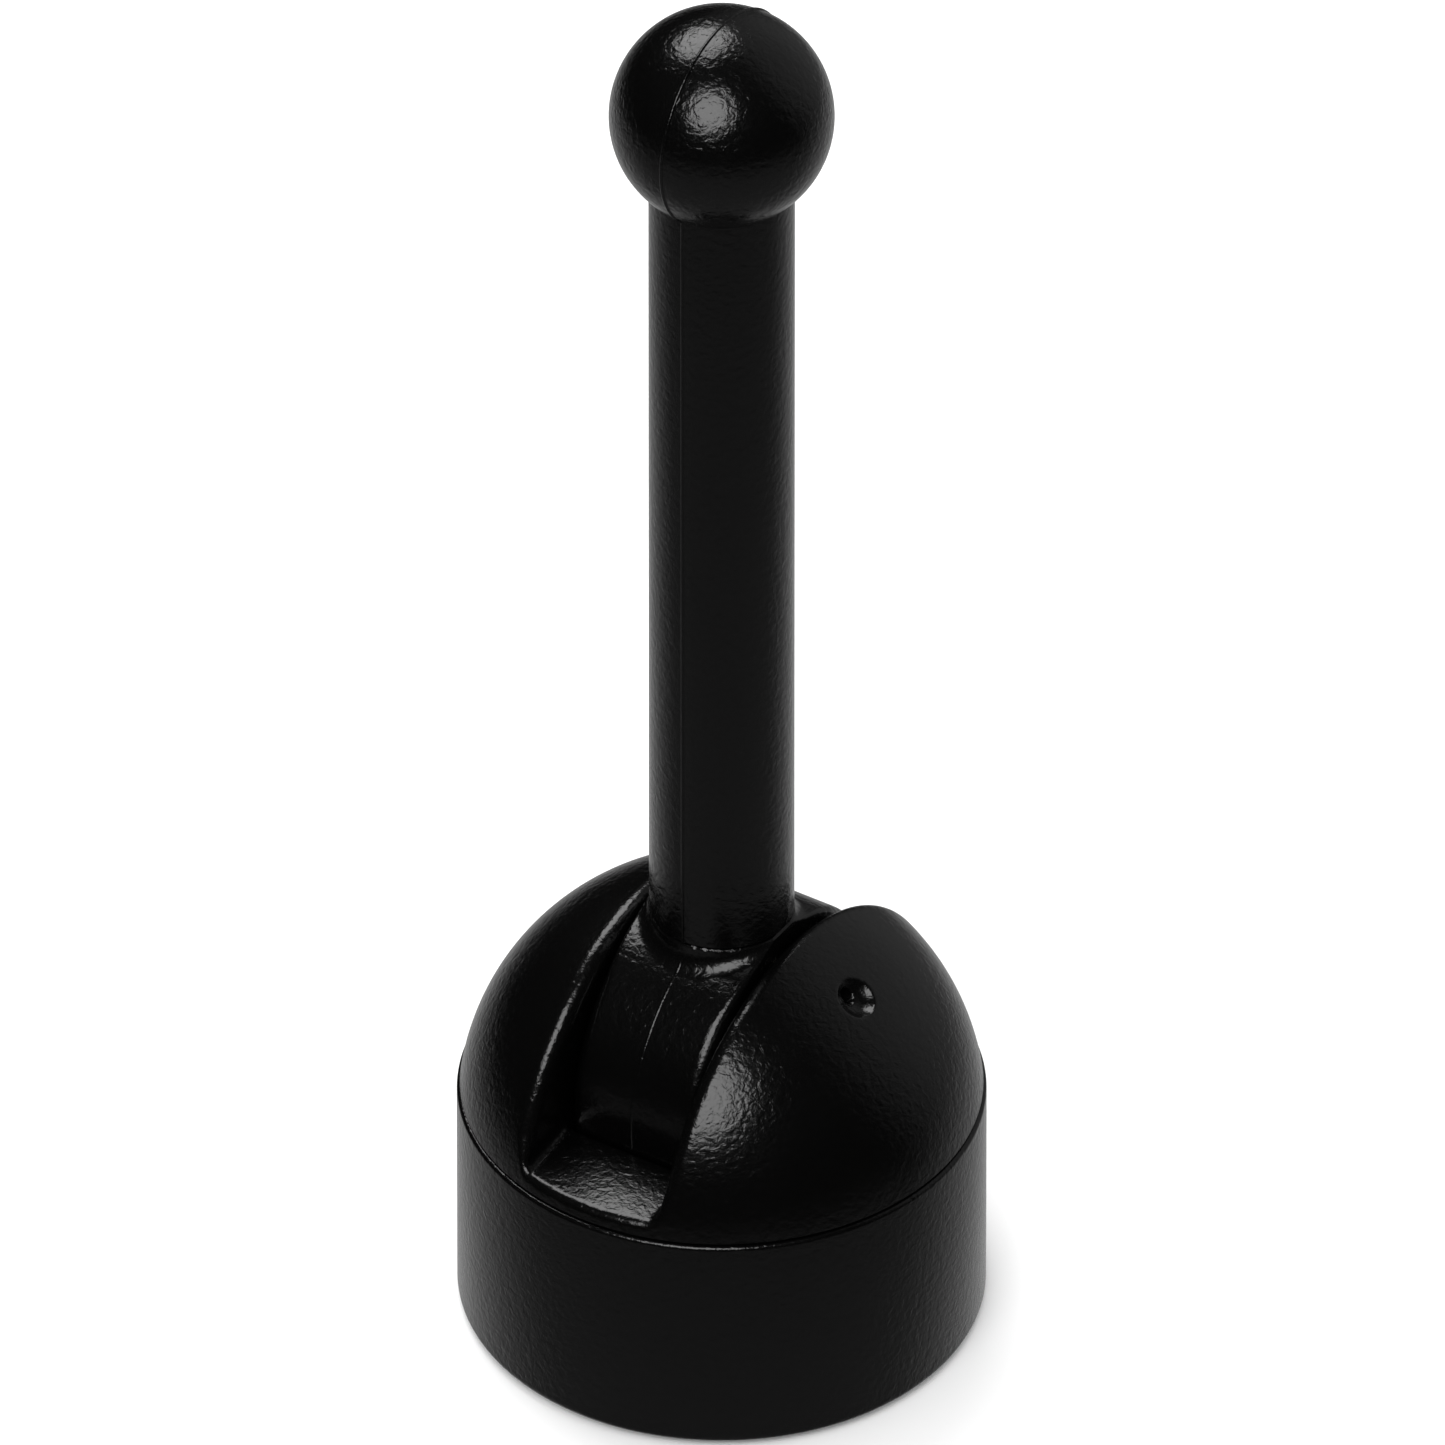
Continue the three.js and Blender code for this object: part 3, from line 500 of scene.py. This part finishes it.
def follow(mesh, edges, rings):
    """Carries an open round edge through rings of [radius, height], and returns the last ring's edges."""
    for radius, height in rings:
        grown = bmesh.ops.extrude_edge_only(mesh, edges=edges)["geom"]
        edges = [g for g in grown if isinstance(g, bmesh.types.BMEdge)]
        ends = {v for e in edges for v in e.verts}
        for v in ends:
            scale = radius * MM / math.hypot(v.co.x, v.co.y)
            v.co = Vector((v.co.x * scale, v.co.y * scale, height * MM))
    return edges


open_edges = [e for e in work.edges if e.is_boundary]
between = (dome_radius - 2) * MM
outer = [e for e in open_edges if math.hypot(*e.verts[0].co.xy) > between]
inner = [e for e in open_edges if math.hypot(*e.verts[0].co.xy) < between]
rim_radius = math.sqrt(dome_radius**2 - (rim_start - dome_centre) ** 2)
rim_inset, corner, lead_in = 0.33, 0.3, 0.5
outer = follow(work, outer, [
    *arc([rim_radius - rim_inset, rim_start], rim_round, -5, -90, 5),
    [skirt_out + corner, shoulder],
    [skirt_out, shoulder - corner],
    [skirt_out, skirt_low + lead_in],
    [skirt_out - lead_in, skirt_low],
    [(skirt_out + skirt_in) / 2, skirt_low],
])
inner = follow(work, inner, [[skirt_in, skirt_low + skirt_edge], [skirt_in + skirt_edge, skirt_low]])
bmesh.ops.bridge_loops(work, edges=outer + inner)
bmesh.ops.recalc_face_normals(work, faces=work.faces[:])
work.to_mesh(dome.data)
work.free()
soften(dome)
shade_by(dome, dome_field)
dome.data.materials.append(black_abs)
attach(dome, "base")
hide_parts("dome_shell")

# Black oxide on steel: the four screws under the base and the drag screw are a dull blue-black.
black_oxide, tree, surface = start_material("black_oxide_steel", Metallic=1.0)
mottle(tree, surface, ["#1b1b1e", "#26262a"], 1.0, [0.35, 0.5], [[0.2, 0.004]])
dress(black_oxide, "dome_screw_1", "dome_screw_2", "dome_screw_3", "dome_screw_4", "drag_screw")


# ---- Axle, bearings and centring springs ----
# The lever turns on a ground steel axle in two acetal bushes. A wire spring on each side stands astride a
# fixed post and the axle arm's pin, and two rubber sleeves on posts stop the arm at the ends of its travel.

# Acetal: black, slightly greasy satin.
black_acetal, tree, surface = start_material("moulded_black_acetal", IOR=1.48)
mottle(tree, surface, ["#121214", "#18181a"], 4.0, [0.4, 0.5], [[0.5, 0.01]])
dress(black_acetal, "bush_left", "bush_right", "bearing_cap_left", "bearing_cap_right")

# Ground and drawn steel: bright and a little blue, with a very fine grain.
bright_steel, tree, surface = start_material("drawn_bright_steel", Metallic=1.0)
mottle(tree, surface, ["#a9adb2", "#9a9ea4"], 1.5, [0.2, 0.34], [[0.15, 0.003]])
dress(bright_steel, "axle", "axle_pin", "tie_rod")
for side in ("left", "right"):
    dress(bright_steel, "spring_arm_" + side, "centring_spring_" + side)
    dress(zinc_steel, f"cap_screw_{side}_front", f"cap_screw_{side}_rear")
dress(black_rubber, "stop_bumper_front", "stop_bumper_rear")


# ---- Hub ----
# The moulded hub that turns in the slot: a drum with rounded rims and a short neck that the lever stands
# on. Its two-part mould closed on the middle plane and left a raised line round it.

neck_top = hub_high[2]
lever_low, lever_high = extent("lever_tube")
lever_radius = lever_high[0]
neck_fillet, neck_edge = 2.4, 0.35
drum_edge, drum_edge_top, drum_fade = 2.5, 0.05, [9, 1]
axle_hole, insert_hole, insert_low = 3.2, 4.7, 65.7
under_wide, under_long, under_deep = 9.3, 22, 10
hub_cell, hub_margin = 0.5, 1.3


def hub_field(p):
    """How far each point is outside the hub, in millimetres."""
    x, y, z = p.T
    axle_line = np.hypot(y, z - PIVOT[2])
    neck = np.maximum(np.hypot(x, y) - lever_radius, PIVOT[2] - z)
    body = rounded_join(axle_line - hub_radius, neck, neck_fillet)
    edge = np.interp(z, [neck_top - drum_fade[0], neck_top - drum_fade[1]], [drum_edge, drum_edge_top])
    body = rounded_cut(body, np.abs(x) - hub_half, edge)
    body = rounded_cut(body, z - neck_top, neck_edge)
    insert = np.where(z > insert_low, insert_hole - np.hypot(x, y), -1.0)
    under = np.maximum(np.maximum(np.abs(x) - under_wide, np.abs(y) - under_long), z - PIVOT[2] + under_deep)
    return np.maximum(np.maximum(body, axle_hole - axle_line), np.maximum(insert, -under))


points, faces = skin(hub_field, hub_low - hub_margin, hub_high + hub_margin, hub_cell)
hub = new_piece("hub_abs", points, faces)
shade_by(hub, hub_field)


def bead(name, path, away, half, height, sink=0.12):
    """A fine raised line, round in section, along points on a skin with their normals."""
    across = np.array([half, 0, 0])
    bulge = [[-1.0, 0.0], [-0.6, 0.7 * height], [0, height], [0.6, 0.7 * height], [1.0, 0.0]]
    section = [[-1.0, -sink], *bulge, [1.0, -sink]]
    points = [at + across * u + up * v for at, up in zip(path, away) for u, v in section]
    count = len(section)
    faces = []
    for i in range(len(path) - 1):
        for k in range(count):
            a, b = i * count + k, i * count + (k + 1) % count
            faces.append([a, b, b + count, a + count])
    faces += [list(range(count))[::-1], [len(points) - count + k for k in range(count)]]
    piece = new_piece(name, points, faces)
    work = bmesh.new()
    work.from_mesh(piece.data)
    bmesh.ops.recalc_face_normals(work, faces=work.faces[:])
    work.to_mesh(piece.data)
    work.free()
    soften(piece)
    return piece


line_half, line_height = 0.3, 0.28
running_height = 0.12
line_start, line_steps, line_rounds = -25, 160, 12
line_end = math.degrees(math.atan((neck_top - 0.4 - PIVOT[2]) / lever_radius))
lines = []
for side, end in ((-1, "front"), (1, "rear")):
    turn = np.radians(np.linspace(line_start, line_end, line_steps))
    ray = np.column_stack([np.zeros_like(turn), side * np.cos(turn), np.sin(turn)])
    along = settle(hub_field, PIVOT + ray * hub_radius * 1.02, line_rounds)
    along[:, 0] = 0
    lines.append(bead("line_" + end, along, slope_of(hub_field, along), line_half, running_height))
with bpy.context.temp_override(active_object=hub, object=hub, selected_editable_objects=[hub, *lines]):
    bpy.ops.object.join()
hub.data.materials.append(black_abs)
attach(hub, "lever")
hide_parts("hub")


# ---- Lever tube ----
# The round lever, a black ABS tube between hub and knob, with the same mould line down its front and rear.
# A steel tie rod through it draws the knob down on to the hub.


def tube_swell(angle, radius):
    """The extra radius of the tube's outside at its mould line."""
    off = np.abs(radius * np.cos(angle)) / line_half
    lift = line_height * np.sqrt(np.clip(1 - off**2, 0, 1))
    return lift if radius > lever_radius - 1 else np.zeros_like(angle)


line_angle = line_half / lever_radius
fine = np.linspace(-1.6, 1.6, 13) * line_angle
wide = np.linspace(2.2 * line_angle, math.pi - 2.2 * line_angle, 110)
front, rear = math.pi / 2, 3 * math.pi / 2
angles = np.concatenate([front + fine, front + wide, rear + fine, rear + wide]) % (2 * math.pi)
tube_inside, tube_edge = lever_radius - 2.3, 0.3
tube = turned(
    "lever_tube_abs",
    rounded([
        [tube_inside, lever_low[2], 0],
        [lever_radius, lever_low[2], tube_edge],
        [lever_radius, lever_high[2], tube_edge],
        [tube_inside, lever_high[2], tube_edge],
        [tube_inside, lever_low[2], 0],
    ]),
    np.sort(angles),
    swell=tube_swell,
)
tube.data.materials.append(black_abs)
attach(tube, "lever")
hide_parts("lever_tube")


# ---- Knob ----
# A 40 mm ball of black phenolic, compression moulded and polished, with its mould line from front to rear
# over the top. A turned brass insert takes the tie rod's thread.

knob_low, knob_high = extent("ball_knob")
knob_radius = (knob_high[0] - knob_low[0]) / 2
knob_centre = knob_high[2] - knob_radius
ball_radius = knob_radius - line_height
line_edge = 2 * line_half / ball_radius
side_steps, line_steps = 70, 17
steps = np.concatenate([
    np.linspace(-math.pi / 2, -1.2 * line_edge, side_steps),
    np.linspace(-line_edge, line_edge, line_steps),
    np.linspace(1.2 * line_edge, math.pi / 2, side_steps),
])
outline = []
for angle in steps:
    lift = line_height * math.sqrt(max(0, 1 - (ball_radius * angle / line_half) ** 2))
    outline.append([(ball_radius + lift) * math.cos(angle), (ball_radius + lift) * math.sin(angle)])
knob = turned("ball_knob_phenolic", outline, centre=(0, 0, knob_centre), axis="x")
insert_top = extent("knob_insert")[1][2]
knob_clear, cut_below = 0.3, knob_low[2] - 5
carve(
    knob,
    plug("socket", lever_radius + knob_clear, cut_below, lever_high[2] + knob_clear),
    plug("insert_hole", insert_hole, cut_below, insert_top + knob_clear),
)

# Phenolic resin: near black like the shell, a touch more reflective, and rippled in the same way.
black_phenolic, tree, surface = start_material("polished_black_phenolic", IOR=1.55)
mottle(tree, surface, ["#020202", "#030303"], 14.0, [0.17, 0.21], [[1.2, 0.15], [0.4, 0.01]])
knob.data.materials.append(black_phenolic)
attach(knob, "lever")
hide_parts("ball_knob")

# Turned brass: warm yellow, brighter in some patches than in others.
turned_brass, tree, surface = start_material("turned_brass", Metallic=1.0)
mottle(tree, surface, ["#c9a455", "#b8924a"], 1.2, [0.22, 0.35], [[0.2, 0.004]])
dress(turned_brass, "hub_insert", "knob_insert")


# ---- Sensor ----
# A magnet in an aluminium cup on the axle's left end faces a small sensor board on its bracket, and a thin
# lead runs down from it to the main board.

# Blasted aluminium: pale grey and even, with only a broad soft sheen.
blasted_aluminium, tree, surface = start_material("blasted_aluminium", Metallic=1.0)
mottle(tree, surface, ["#c3c5c7", "#b4b7ba"], 2.0, [0.42, 0.55], [[0.15, 0.008]])
dress(blasted_aluminium, "magnet_cup", "sensor_bracket")
dress(zinc_steel, "sensor_screw_front", "sensor_screw_rear")

# Soft PVC: the lead's jacket is black with a low sheen.
black_pvc, tree, surface = start_material("black_pvc_jacket", IOR=1.53)
mottle(tree, surface, ["#131314", "#1a1a1b"], 3.0, [0.45, 0.6], [[0.3, 0.008]])
dress(black_pvc, "sensor_lead")


# ---- Studio ----
# A white floor and two soft round lamps, above the front and the left rear. The room is pale to the eye and
# dark to the gloss, but for a glow low down and one at the right rear, so that black plastic reads as black.

VIEW_LEFT, VIEW_UP = math.radians(32.5), math.radians(38.23)
FRAME_WIDTH = 253.5
LENS, SENSOR = 1600.0, 36.0
AIM = [0.12, 0.08, 126.0]
level = math.cos(VIEW_UP)
toward = Vector((math.sin(VIEW_LEFT) * level, -math.cos(VIEW_LEFT) * level, math.sin(VIEW_UP)))
camera_data = bpy.data.cameras.new("camera")
camera_data.lens, camera_data.sensor_width = LENS, SENSOR
camera_data.clip_end = 100
camera = bpy.data.objects.new("camera", camera_data)
camera.location = Vector(AIM) * MM + toward * (FRAME_WIDTH * MM * LENS / SENSOR)
camera.rotation_euler = toward.to_track_quat("Z", "Y").to_euler()
bpy.context.scene.collection.objects.link(camera)
bpy.context.scene.camera = camera

reach = 6000
corners = [[-reach, -reach, 0], [reach, -reach, 0], [reach, reach, 0], [-reach, reach, 0]]
floor = new_piece("floor", corners, [[0, 1, 2, 3]])
pale_floor, tree, surface = start_material("pale_floor")
mottle(tree, surface, ["#f6f6f6", "#f2f2f2"], 400.0, [0.9, 0.95], [[2.0, 0.01]])
floor.data.materials.append(pale_floor)
floor.visible_glossy = False


def lamp(name, direction, distance, radius, radiance):
    """A round soft lamp that faces the middle of the joystick, as bright as a mirror would show it."""
    data = bpy.data.lights.new(name, "AREA")
    data.shape = "DISK"
    data.size = 2 * radius
    data.energy = radiance * math.pi * math.pi * radius**2
    light = bpy.data.objects.new(name, data)
    way = Vector(direction).normalized()
    light.location = Vector((0, 0, LAMP_AIM)) + way * distance
    light.rotation_euler = way.to_track_quat("Z", "Y").to_euler()
    bpy.context.scene.collection.objects.link(light)


LAMP_AIM = 0.15
LAMP = {"distance": 2.5, "radius": 0.9, "radiance": 4.2}
lamp("lamp_front", (0.216, -0.702, 0.679), **LAMP)
lamp("lamp_left_rear", (-0.473, 0.298, 0.829), **LAMP)

world = bpy.data.worlds.new("studio")
bpy.context.scene.world = world
world.use_nodes = True
tree = world.node_tree
tree.nodes.clear()
way = add(tree, "TexCoord").outputs["Generated"]
height = add(tree, "SeparateXYZ", links={0: way}).outputs["Z"]
smooth = {"interpolation_type": "SMOOTHSTEP"}
away_from_view = {1: (-toward.x, -toward.y, 0)}
behind = add(tree, "VectorMath", away_from_view, {0: way}, operation="DOT_PRODUCT").outputs["Value"]
front_to_rear = {"From Min": -0.15, "From Max": 0.75, "To Min": 0.13, "To Max": 0.55}
glow = add(tree, "MapRange", front_to_rear, {"Value": behind}, **smooth).outputs["Result"]
down = {"From Min": -0.15, "From Max": -0.6}
below = add(tree, "MapRange", down, {"Value": height}, **smooth).outputs["Result"]
low_glow = add(tree, "MapRange", {"To Min": 0.005}, {"Value": below, "To Max": glow}).outputs["Result"]
right_rear = {1: Vector((0.3, 0.88, 0.37)).normalized()}
facing = add(tree, "VectorMath", right_rear, {0: way}, operation="DOT_PRODUCT").outputs["Value"]
spread = {"From Min": 0.5, "From Max": 1.0, "To Max": 0.22}
side_glow = add(tree, "MapRange", spread, {"Value": facing}, **smooth).outputs["Result"]
total = add(tree, "Math", links={0: low_glow, 1: side_glow}, operation="ADD").outputs["Value"]
white = {"Color": linear("#ffffff")}
dark_room = add(tree, "Background", white, {"Strength": total}).outputs[0]
pale_room = add(tree, "Background", {**white, "Strength": 1.0}).outputs[0]
gloss = add(tree, "LightPath").outputs["Is Glossy Ray"]
both = add(tree, "MixShader", links={0: gloss, 1: pale_room, 2: dark_room})
add(tree, "OutputWorld", links={"Surface": both.outputs[0]})

bpy.context.scene.view_settings.view_transform = "Standard"
